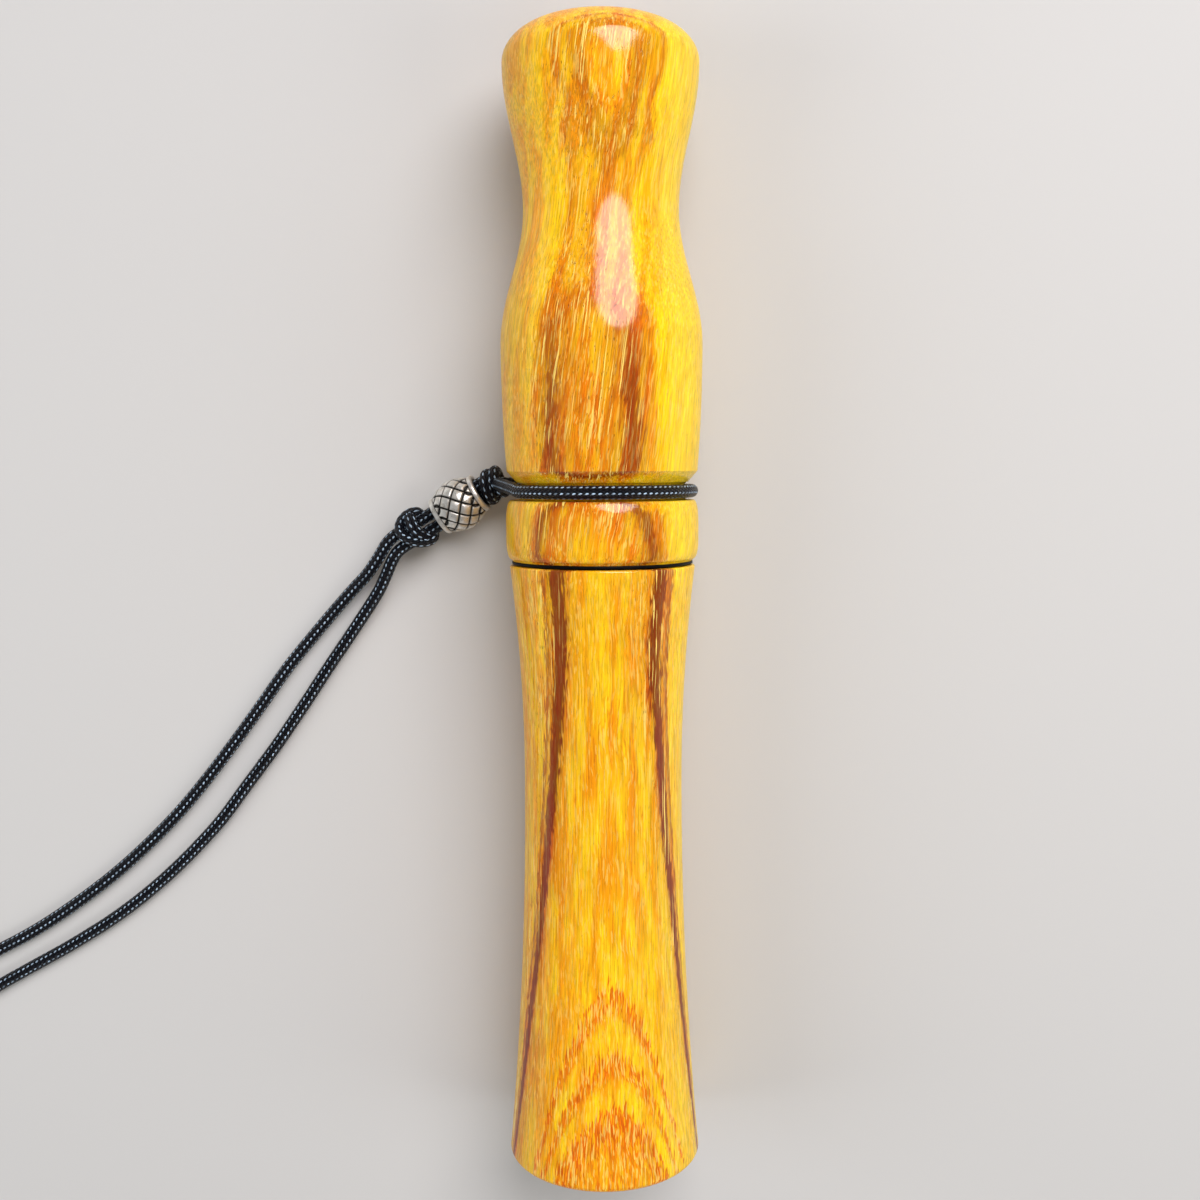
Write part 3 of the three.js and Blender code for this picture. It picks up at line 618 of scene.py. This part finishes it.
def turnedWood(name, figure):
    look = woodLook
    wood = {key: linear(*color) for key, color in look["colors"].items()}
    material, tree = newMaterial(name)

    def grain(key, vector, *settings, at=(0, 0, 0)):
        return noise(tree, scaled(tree, vector, look["grain"][key], at), 1.0, *settings)

    def times(first, second):
        return calc(tree, "MULTIPLY", first, second)

    def blend(color, factor, key):
        return mixColor(tree, factor, color, wood[key])

    place = objectMillimetres(tree, (0, -callLength / 2, axisHeight))
    x, station, z = addNode(tree, "SeparateXYZ", {"Vector": place}).outputs
    rise = addNode(tree, "FloatCurve", {"Value": span(tree, station, 0, callLength)})
    curve = rise.mapping.curves[0]
    for at, height in look["layerRise"][1:-1]:
        curve.points.new(at, height)
    curve.points[0].location, curve.points[-1].location = look["layerRise"][0], look["layerRise"][-1]
    rise.mapping.update()

    # depth is how many millimetres of growth lie under a point, counted from the brown layer
    depth = calc(tree, "MULTIPLY_ADD", rise.outputs[0], -look["riseScale"], z)
    depth = calc(tree, "MULTIPLY_ADD", times(x, x), 0.5 / look["ringRadius"], depth)
    onDome = span(tree, station, *look["dome"], smooth=True)
    lean = span(tree, onDome, 0, 1, figure["lean"], figure["domeLean"])
    depth = calc(tree, "ADD", times(x, lean), depth)
    wander = grain("wander", place, 2.0, at=figure["shift"])
    depth = calc(tree, "ADD", depth, span(tree, wander, 0.2, 0.8, -figure["wander"], figure["wander"]))
    for eyeX, eyeStation, size, swell in figure["eyes"]:  # the grain swells round a small knot
        across = calc(tree, "DIVIDE", calc(tree, "SUBTRACT", x, eyeX), size)
        along = calc(tree, "DIVIDE", calc(tree, "SUBTRACT", station, eyeStation), size * 1.6)
        far = calc(tree, "ADD", times(across, across), times(along, along))
        bulge = times(calc(tree, "EXPONENT", times(far, -1.0)), swell)
        depth = calc(tree, "ADD", depth, times(bulge, span(tree, z, 0, 8)))

    # fibres run along the call, with a slight sway
    sway = span(tree, grain("sway", place, at=(4, 4, 4)), 0, 1, -look["sway"], look["sway"])
    leaning = calc(tree, "MULTIPLY_ADD", station, figure["fibreLean"], x)
    swung = {"X": calc(tree, "ADD", leaning, sway), "Y": station, "Z": calc(tree, "SUBTRACT", z, sway)}
    swayed = addNode(tree, "CombineXYZ", swung).outputs[0]
    swung = {"X": calc(tree, "MULTIPLY_ADD", sway, 0.4, leaning), "Y": station, "Z": z}
    straight = addNode(tree, "CombineXYZ", swung).outputs[0]
    fleck = grain("fleck", swayed, 1.0)
    paleFleck = grain("paleFleck", swayed, 1.5, at=(7, 3, 1))
    fine = grain("fine", straight, 3.0, 0.6, at=(2, 2, 2))
    mottle = grain("mottle", straight, 3.0, 0.55, at=(1, 9, 4))
    fray = span(tree, onDome, 0, 1, 0.2, 0.08)
    frayed = calc(tree, "MULTIPLY_ADD", span(tree, fleck, 0.25, 0.75, -1, 1), fray, depth)
    frayed = calc(tree, "ADD", frayed, span(tree, fine, 0.25, 0.75, -0.1, 0.1))

    wave = calc(tree, "COSINE", times(calc(tree, "SUBTRACT", frayed, 4.7), 2 * pi / look["ringSpacing"]))
    strength = grayRamp(tree, frayed, -26, 10, figure["ringStrength"])
    chance = noise(tree, times(frayed, 0.45), 1.0, 1.0, dimensions="1D")
    strength = times(strength, span(tree, chance, 0.3, 0.6, 0.5, 1.0))
    wave = calc(tree, "MAXIMUM", wave, span(tree, frayed, *look["fullArch"], -1, 0.8))
    dense = times(span(tree, wave, -0.6, 0.6, smooth=True), strength)

    color = blend(wood["gold"], span(tree, mottle, 0.38, 0.6, smooth=True), "yellow")
    color = blend(color, times(dense, 0.6), "orange")
    # painted light and shade: the right flank (+X) is blended toward a brighter yellow and the left flank (-X)
    # toward a darker olive, where the light falls from the right
    color = blend(color, span(tree, x, 4, 14, 0, 0.65, True), "bright")
    color = blend(color, span(tree, x, -7, -15, 0, 0.4, True), "paintedShadeOlive")
    brown = grayRamp(tree, frayed, -4, 4, figure["brownLayer"])
    stain = grayRamp(tree, frayed, -4, 4, figure["stain"])
    if "domeBrown" in figure:
        domeBrown, domeStain = (grayRamp(tree, frayed, -4, 4, figure[key]) for key in ("domeBrown", "domeStain"))
        brown = addNode(tree, "Mix", {0: onDome, 2: brown, 3: domeBrown}).outputs[0]
        stain = addNode(tree, "Mix", {0: onDome, 2: stain, 3: domeStain}).outputs[0]
        # the streak fades out on the neck
        brown = times(brown, calc(tree, "MAXIMUM", onDome, span(tree, station, 140, 124, 0.15, 1, True)))
    patchy = span(tree, mottle, 0.34, 0.64, 1.0, 0.45)
    color = blend(color, times(stain, patchy), "stain")

    dash = span(tree, calc(tree, "MULTIPLY_ADD", dense, 0.2, fleck), 0.6, 0.66, smooth=True)
    dashColor = blend(wood["rust"], span(tree, paleFleck, 0.35, 0.6), "orange")
    dash = times(dash, span(tree, dense, 0.3, 0.9, figure["looseDash"], 0.95))
    color = mixColor(tree, dash, color, dashColor)
    lit = times(span(tree, paleFleck, 0.54, 0.62, smooth=True), span(tree, dense, 0, 0.7, 0.25, 0.6))
    color = blend(color, lit, "pale")
    color = blend(color, times(brown, span(tree, fine, 0.4, 0.62, 1.0, 0.86)), "brown")

    # pale threads lie to the left of each dark streak
    threadDepth = calc(tree, "MULTIPLY_ADD", x, 0.1, figure["threadsAt"])
    fromThreads = calc(tree, "ABSOLUTE", calc(tree, "SUBTRACT", depth, threadDepth))
    nearLayer = span(tree, fromThreads, 1.5, 0.4, 0.12, 1.0)
    threads = grain("threads", straight, 2.0, at=(3, 1, 7))
    thread = times(span(tree, threads, 0.61, 0.645, smooth=True), nearLayer)
    color = blend(color, times(thread, 0.9), "pale")
    pores = grain("pores", swayed, 1.0, at=(9, 4, 2))
    pore = times(span(tree, pores, 0.66, 0.72, smooth=True), calc(tree, "MULTIPLY_ADD", nearLayer, 0.45, 0.15))
    color = blend(color, pore, "pore")
    line = span(tree, fine, 0.3, 0.7, *look["fineLines"])
    gray = addNode(tree, "CombineColor", {0: line, 1: line, 2: line}).outputs[0]
    color = mixColor(tree, 1.0, color, gray, "MULTIPLY")

    height = calc(tree, "MULTIPLY_ADD", fine, 0.5, times(fleck, 0.5))
    height = calc(tree, "MULTIPLY_ADD", pore, -1.0, height)
    surface(
        tree, Base_Color=color, Roughness=look["roughness"], Specular_IOR_Level=0.02,
        Coat_Weight=look["lacquer"], Coat_IOR=look["lacquerIor"], Coat_Roughness=look["lacquerRoughness"],
        Normal=bump(tree, height, look["poreDepth"] * mm, 0.5),
        Coat_Normal=bump(tree, height, look["lacquerDip"] * mm, 0.6),
    )
    return material


barrelFigure = {
    "shift": (2.1, 0.4, 1.7),
    "wander": 0.2,  # how far the rings stray
    "lean": 0.045, "domeLean": 0.045,  # how they slope to the side, on the body and at the mouth end
    "fibreLean": 0.0,
    "eyes": [],
    "looseDash": 0.15,  # how strong the flecks between the rings are
    "threadsAt": -0.5,  # depth of the pale threads
    # levels by depth
    "ringStrength": [
        (-26, 0.5), (-8, 0.4), (-2, 0.5), (-0.5, 0.8), (0.8, 0.25), (1.35, 0.25), (1.7, 0.4), (2.5, 0.4),
        (3.1, 0.3), (4.0, 0.25), (4.25, 1.0), (10, 1.0),
    ],
    "brownLayer": [
        (-4, 0), (-1.15, 0.0), (-1.0, 0.55), (-0.85, 0.5), (-0.72, 0.1), (-0.5, 0.15), (-0.38, 0.85), (0.3, 0.95),
        (0.48, 0.1), (4, 0),
    ],
    "stain": [(-4, 0), (-1.4, 0.0), (-0.9, 0.7), (0.5, 0.9), (0.8, 0.25), (1.4, 0.1), (4, 0)],
}
mouthpieceFigure = {
    "shift": (5.3, 2.2, 0.6),
    "wander": 0.25,
    "lean": -0.04, "domeLean": 0.06,
    "fibreLean": -0.13,
    "eyes": [(1.3, 169, 3.7, 1.6)],  # X, station, size and swell of a small knot
    "looseDash": 0.04,
    "threadsAt": 0.3,
    "ringStrength": [(-26, 0.4), (-8, 0.3), (-2, 0.2), (-0.8, 0.5), (0.8, 0.6), (1.5, 0.4), (10, 0.4)],
    "brownLayer": [(-4, 0), (-0.6, 0.0), (-0.3, 0.35), (-0.12, 0.75), (0.1, 0.7), (0.3, 0.2), (0.7, 0.05), (4, 0)],
    "stain": [(-4, 0), (-1.2, 0.0), (-0.75, 0.8), (0.2, 1.0), (0.5, 0.75), (1.0, 0.4), (1.6, 0.15), (4, 0.1)],
    "domeBrown": [
        (-4, 0), (-1.15, 0.0), (-0.95, 0.2), (-0.7, 0.02), (-0.45, 0.08), (-0.15, 0.35), (0.1, 0.2), (0.4, 0.3),
        (0.8, 0.0), (4, 0),
    ],
    "domeStain": [(-4, 0), (-1.35, 0.05), (-1.0, 0.75), (-0.6, 0.3), (-0.2, 0.3), (0.3, 0.65), (0.9, 0.1), (4, 0)],
}

barrelTurning = {
    "length": 97.6, "bell": 15.6, "bellEdge": 1.0, "bellMouth": 12.4, "bellLip": 0.5, "flare": 42, "bore": 8.8,
    "waist": 12.75, "waistAt": 63.5, "top": 14.8, "edgeBreak": 0.4, "socket": 11.1, "socketDepth": 19.2,
    "steps": 160,  # around
}


def makeBarrel():
    t = barrelTurning
    top, edge = t["length"], t["edgeBreak"]
    socketFloor = top - t["socketDepth"]
    outline = joined(
        quarter((t["bellEdge"], t["bell"]), (0, t["bell"] - t["bellEdge"]), 6)[::-1],
        cove((t["waistAt"], t["waist"]), (t["bellEdge"], t["bell"]), 40)[::-1],
        cove((t["waistAt"], t["waist"]), (top - edge, t["top"]), 24),
        quarter((top - edge, t["top"]), (top, t["top"] - edge), 5),
        [(top, t["socket"] + edge), (top - edge, t["socket"])],
        [(socketFloor, t["socket"]), (socketFloor, t["bore"])],
        cove((t["flare"], t["bore"]), (t["bellLip"], t["bellMouth"]), 20),
        quarter((t["bellLip"], t["bellMouth"]), (0, t["bellMouth"] + t["bellLip"]), 5),
    )
    mesh = spun("turnedBarrel", outline, t["steps"])
    mesh.materials.append(turnedWood("barrelWood", barrelFigure))
    return meshPiece("turnedBarrel", mesh, "barrel", ["barrel"])


mouthpieceTurning = {
    "tenonEnd": 80.25, "tenon": 10.8, "tenonChamfer": 0.5, "chamber": 8.0, "shoulder": 98.25,
    "ringStations": (85.15, 93.35), "ringHalf": 1.05, "ringFloor": 9.0,
    "collarTop": 107.9, "collar": 15.38, "collarFoot": 14.75, "collarTopRadius": 14.6, "collarRound": 3.4,
    "edgeBreak": 0.4, "grooveCorner": 0.7, "chamferFoot": (110.7, 13.65),
    "bodyEnd": (112.45, 15.2), "body": (132.15, 15.95), "neck": (153.15, 12.22), "bulb": (175.25, 15.34),
    "mouthFlat": 5.7, "mouthHole": 4.75, "mouthLip": 0.5, "passage": 36, "chamberTaper": 3.5, "steps": 160,
}


def makeMouthpiece():
    t = mouthpieceTurning
    tenonEnd, shoulder, top, end = t["tenonEnd"], t["shoulder"], t["collarTop"], callLength
    grooveMiddle = (grooveStation, grooveFloor)
    wall = grooveFloor + t["grooveCorner"]
    half, chamfer = t["ringHalf"], t["tenonChamfer"]
    rings = [
        [(s - half, t["tenon"]), (s - half, t["ringFloor"]), (s + half, t["ringFloor"]), (s + half, t["tenon"])]
        for s in t["ringStations"]
    ]
    outline = joined(
        [(tenonEnd, t["chamber"]), (tenonEnd, t["tenon"] - chamfer), (tenonEnd + chamfer, t["tenon"])],
        *rings,
        [(shoulder, t["tenon"]), (shoulder, t["collarFoot"] - t["edgeBreak"])],
        quarter((shoulder + t["collarRound"], t["collar"]), (shoulder + t["edgeBreak"], t["collarFoot"]), 12)[::-1],
        quarter((top - t["collarRound"], t["collar"]), (top, t["collarTopRadius"]), 12),
        quarter(grooveMiddle, (top, wall), 5)[::-1],
        quarter(grooveMiddle, (t["chamferFoot"][0], wall), 5),
        [t["chamferFoot"], t["bodyEnd"]],
        cove(t["body"], t["bodyEnd"], 16)[::-1],
        ease(t["body"], t["neck"], 34),
        ease(t["neck"], t["bulb"], 34),
        quarter(t["bulb"], (end, t["mouthFlat"]), 24),
        quarter((end - t["mouthLip"], t["mouthHole"]), (end, t["mouthHole"] + t["mouthLip"]), 5)[::-1],
        [(end - t["passage"], t["mouthHole"]), (end - t["passage"] - t["chamberTaper"], t["chamber"])],
    )
    mesh = spun("turnedMouthpiece", outline, t["steps"])
    mesh.materials.append(turnedWood("mouthpieceWood", mouthpieceFigure))
    return meshPiece("turnedMouthpiece", mesh, "mouthpiece", ["mouthpiece"])


makeBarrel()
makeMouthpiece()
print("turned wood made")


# Bead

beadMake = {
    "length": 8.3, "radius": 4.45, "rim": 3.3, "rimBand": 0.7, "rimRound": 0.15, "bore": 2.45, "steps": 324,
    "starts": 9, "pitch": 2.5, "lineSpacing": 2.0, "grooveWidth": 0.25, "grooveDepth": 0.24, "grooveWall": 1.6,
    "pillow": 0.1, "pillowWall": 2.2, "rimLine": 0.22,
    "arcRadius": 0.95, "arcWidth": 0.2,  # of the small scales along both rims
    "silver": (240, 238, 232), "dullSilver": (206, 200, 188), "tarnish": (16, 14, 12), "metallic": 0.74,
    "tarnishWall": 1.8, "boreTarnish": 0.85, "sharpAngle": 50,
}


def antiqueSilver():
    material, tree = newMaterial("antiqueSilver")
    dark = addNode(tree, "Attribute", attribute_name="tarnish").outputs["Fac"]
    place = objectMillimetres(tree)
    cloud = noise(tree, place, 0.9, 4.0, 0.6)
    scratch = noise(tree, scaled(tree, place, (6, 1.2, 3)), 1.0, 3.0)
    bright, dull, tarnish = (linear(*beadMake[key]) for key in ("silver", "dullSilver", "tarnish"))
    silver = mixColor(tree, span(tree, cloud, 0.4, 0.75), bright, dull)
    color = mixColor(tree, dark, silver, tarnish)
    rough = calc(tree, "ADD", span(tree, scratch, 0.3, 0.7, 0.26, 0.4), calc(tree, "MULTIPLY", dark, 0.4))
    surface(
        tree, Base_Color=color, Metallic=beadMake["metallic"], Roughness=rough,
        Normal=bump(tree, scratch, 0.00002, 0.35),
    )
    return material


def makeBead():
    b = beadMake
    half, edge = b["length"] / 2, b["rimRound"]
    belly = stretch(64, lambda t: (
        (half - b["rimBand"]) * (2 * t - 1), b["rim"] + (b["radius"] - b["rim"]) * cos(pi / 2 * (2 * t - 1))))
    outline = joined(
        [(-half, b["bore"]), (-half, b["rim"] - edge), (-half + edge, b["rim"])], belly,
        [(half - edge, b["rim"]), (half, b["rim"] - edge), (half, b["bore"])],
    )
    bm = bmesh.new()
    rim = [bm.verts.new((r, s, 0)) for s, r in outline]
    edges = [bm.edges.new((rim[i], rim[(i + 1) % len(rim)])) for i in range(len(rim))]
    bmesh.ops.spin(
        bm, geom=rim + edges, cent=(0, 0, 0), axis=(0, 1, 0), angle=2 * pi, steps=b["steps"], use_merge=True,
    )
    bmesh.ops.remove_doubles(bm, verts=bm.verts, dist=1e-5)
    bmesh.ops.recalc_face_normals(bm, faces=bm.faces)
    tarnish = bm.verts.layers.float.new("tarnish")
    for vert in bm.verts:
        radius, along = hypot(vert.co.x, vert.co.z), vert.co.y
        if abs(along) > half - b["rimBand"] or radius < b["bore"] + 0.2:  # the rims and the bore stay plain
            vert[tarnish] = b["boreTarnish"] if radius < b["bore"] + 0.05 else 0.0
            continue
        turn = atan2(vert.co.z, vert.co.x) / (2 * pi) * b["starts"]
        climb = along / b["pitch"]
        gaps = [abs(phase - floor(phase + 0.5)) for phase in (turn + climb, turn - climb)]  # to the crossing lines
        cuts = [max(0.0, 1 - gap * b["lineSpacing"] / b["grooveWidth"]) for gap in gaps]
        fromRim = half - b["rimBand"] - abs(along)
        across = (turn - floor(turn + 0.5)) * 2 * pi * radius / b["starts"]
        arc = max(0.0, 1 - abs(hypot(across, fromRim) - b["arcRadius"]) / b["arcWidth"])
        cut = min(1.0, max(*cuts, 1 - fromRim / b["rimLine"], arc))
        scale = min(1.0, b["pillowWall"] * min(gaps))
        push = b["pillow"] * (scale - 1) - b["grooveDepth"] * min(1.0, cut * b["grooveWall"])
        vert.co.x *= (radius + push) / radius
        vert.co.z *= (radius + push) / radius
        vert[tarnish] = min(1.0, cut * b["tarnishWall"])
    turnTo = Vector((0, 1, 0)).rotation_difference(beadLine["along"]).to_matrix().to_4x4()
    moveTo = Matrix.Scale(mm, 4) @ Matrix.Translation(beadLine["place"]) @ turnTo
    bmesh.ops.transform(bm, matrix=moveTo, verts=bm.verts)
    mesh = meshOf(bm, "scaleBead", b["sharpAngle"])
    mesh.materials.append(antiqueSilver())
    return meshPiece("scaleBead", mesh, "bead", ["bead"])


bead = makeBead()
print("bead made")


# Rubber, plastic, film and cork of the joint and the reed insert

insertTones = {
    "rubber": ((7, 7, 8), (16, 16, 17)),
    "plastic": ((20, 20, 21), (30, 30, 31)),
    "film": ((222, 166, 74), (212, 152, 60)),
    "cork": ((196, 150, 100), (164, 116, 72)),
    "corkPore": (84, 52, 28),
}


def mottled(tree, factor, key):
    first, second = insertTones[key]
    return mixColor(tree, factor, linear(*first), linear(*second))


def blackRubber():
    material, tree = newMaterial("blackRubber")
    place = objectMillimetres(tree)
    bloom = noise(tree, place, 1.1, 4.0, 0.6)
    color = mottled(tree, span(tree, bloom, 0.45, 0.8), "rubber")
    surface(
        tree, Base_Color=color, Roughness=span(tree, bloom, 0.3, 0.8, 0.42, 0.62), Specular_IOR_Level=0.12,
        Normal=bump(tree, noise(tree, place, 9.0, 2.0), 0.00001, 0.4),
    )
    return material


def blackPlastic():
    material, tree = newMaterial("blackPlastic")
    place = objectMillimetres(tree)
    spark = noise(tree, place, 14.0, 3.0, 0.6)
    color = mottled(tree, span(tree, noise(tree, place, 0.5), 0.3, 0.7), "plastic")
    rough = span(tree, spark, 0.3, 0.7, 0.34, 0.5)
    surface(tree, Base_Color=color, Roughness=rough, Normal=bump(tree, spark, 0.00001, 0.5))
    return material


def amberFilm():
    material, tree = newMaterial("amberFilm")
    place = objectMillimetres(tree)
    haze = noise(tree, place, 0.4, 3.0)
    color = mottled(tree, span(tree, haze, 0.3, 0.7), "film")
    rough = span(tree, haze, 0.3, 0.7, 0.12, 0.24)
    surface(tree, Base_Color=color, Roughness=rough, Transmission_Weight=0.7, IOR=1.5)
    return material


def naturalCork():
    material, tree = newMaterial("naturalCork")
    place = objectMillimetres(tree)
    cells = addNode(tree, "TexVoronoi", {"Vector": place, "Scale": 1.6, "Randomness": 1.0}).outputs["Distance"]
    specks = noise(tree, place, 2.2, 3.0, 0.6)
    color = mottled(tree, span(tree, cells, 0.1, 0.7), "cork")
    color = mixColor(tree, span(tree, specks, 0.62, 0.7), color, linear(*insertTones["corkPore"]))
    height = calc(tree, "ADD", cells, specks)
    surface(tree, Base_Color=color, Roughness=0.85, Normal=bump(tree, height, 0.0001, 0.6))
    return material


rubber, plastic = blackRubber(), blackPlastic()

ringMake = {
    "seam": {"start": 97.75, "end": 98.25, "inner": 11.1, "outer": 14.45, "round": 0.17, "steps": 128},
    "oRingSteps": (20, 96),  # around the section, and around the axis
    # station, thickness, outer radius, body and node
    "oRings": {
        "tenonRingLower": (85.15, 1.8, 10.95, "mouthpiece", "tenon_o_ring_lower"),
        "tenonRingUpper": (93.35, 1.8, 10.95, "mouthpiece", "tenon_o_ring_upper"),
        "plugRing": (84.45, 1.6, 7.85, "reed_insert", "plug_o_ring"),
    },
}


def makeRings():
    s = ringMake["seam"]
    outline = joined(
        [(s["start"], s["inner"])],
        quarter((s["start"] + s["round"], s["outer"]), (s["start"], s["outer"] - s["round"]), 4)[::-1],
        quarter((s["end"] - s["round"], s["outer"]), (s["end"], s["outer"] - s["round"]), 4),
        [(s["end"], s["inner"])],
    )
    mesh = spun("seamRing", outline, s["steps"])
    mesh.materials.append(rubber)
    meshPiece("seamRing", mesh, "seam", ["seam_ring"])
    sides, steps = ringMake["oRingSteps"]
    turns = [2 * pi * i / sides for i in range(sides)]
    for name, (station, thickness, outer, body, node) in ringMake["oRings"].items():
        radius = thickness / 2
        outline = [(station - radius * cos(turn), outer - radius + radius * sin(turn)) for turn in turns]
        mesh = spun(name, outline, steps)
        mesh.materials.append(rubber)
        meshPiece(name, mesh, body, [node])


plugMake = {
    "start": 80.45, "top": 96.45, "radius": 7.65, "bore": 4.4, "edge": 0.4, "boreEdge": 0.2,
    "pocket": 6.2, "pocketFloor": 88.45, "steps": 112,
    "groove": (84.45, 0.95, 6.1),  # station, half width and radius at the floor
}


def makePlug():
    p = plugMake
    at, half, floorRadius = p["groove"]
    outline = joined(
        [(p["start"], p["bore"] + p["boreEdge"])],
        quarter((p["start"] + p["edge"], p["radius"]), (p["start"], p["radius"] - p["edge"]), 4)[::-1],
        [(at - half, p["radius"]), (at - half, floorRadius), (at + half, floorRadius), (at + half, p["radius"])],
        quarter((p["top"] - p["edge"], p["radius"]), (p["top"], p["radius"] - p["edge"]), 4),
        [(p["top"], p["pocket"]), (p["pocketFloor"], p["pocket"]), (p["pocketFloor"], p["bore"]),
         (p["start"] + p["boreEdge"], p["bore"])],
    )
    mesh = spun("insertPlug", outline, p["steps"])
    mesh.materials.append(plastic)
    meshPiece("insertPlug", mesh, "reed_insert", ["reed_plug"])


refining = {
    "merge": 0.002, "bevel": 0.12, "filmBevel": 0.05,
    "flat": 1, "corner": 50, "sharp": 34,  # degrees
}


def refined(name, node, body, material, bevel=refining["bevel"]):
    # a merged copy of a CAD node, with its corners slightly rounded
    bm = bmesh.new()
    bm.from_mesh(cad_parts[node].data)
    bmesh.ops.remove_doubles(bm, verts=bm.verts, dist=refining["merge"] * mm)
    bmesh.ops.dissolve_limit(bm, angle_limit=radians(refining["flat"]), verts=bm.verts, edges=bm.edges)
    corners = [edge for edge in bm.edges if edge.calc_face_angle(0) > radians(refining["corner"])]
    bmesh.ops.bevel(bm, geom=corners, offset=bevel * mm, affect="EDGES", segments=2, profile=0.5, material=-1)
    mesh = meshOf(bm, name, refining["sharp"])
    mesh.materials.clear()
    mesh.materials.append(material)
    return meshPiece(name, mesh, body, [node])


makeRings()
makePlug()
refined("troughBoard", "tone_board", "reed_insert", plastic)
refined("wedgeCork", "reed_wedge", "reed_insert", naturalCork())
refined("tuningBand", "tuning_ring", "tuning_ring", rubber)
refined("filmReed", "reed", "reed", amberFilm(), refining["filmBevel"])
print("joint and reed insert made")
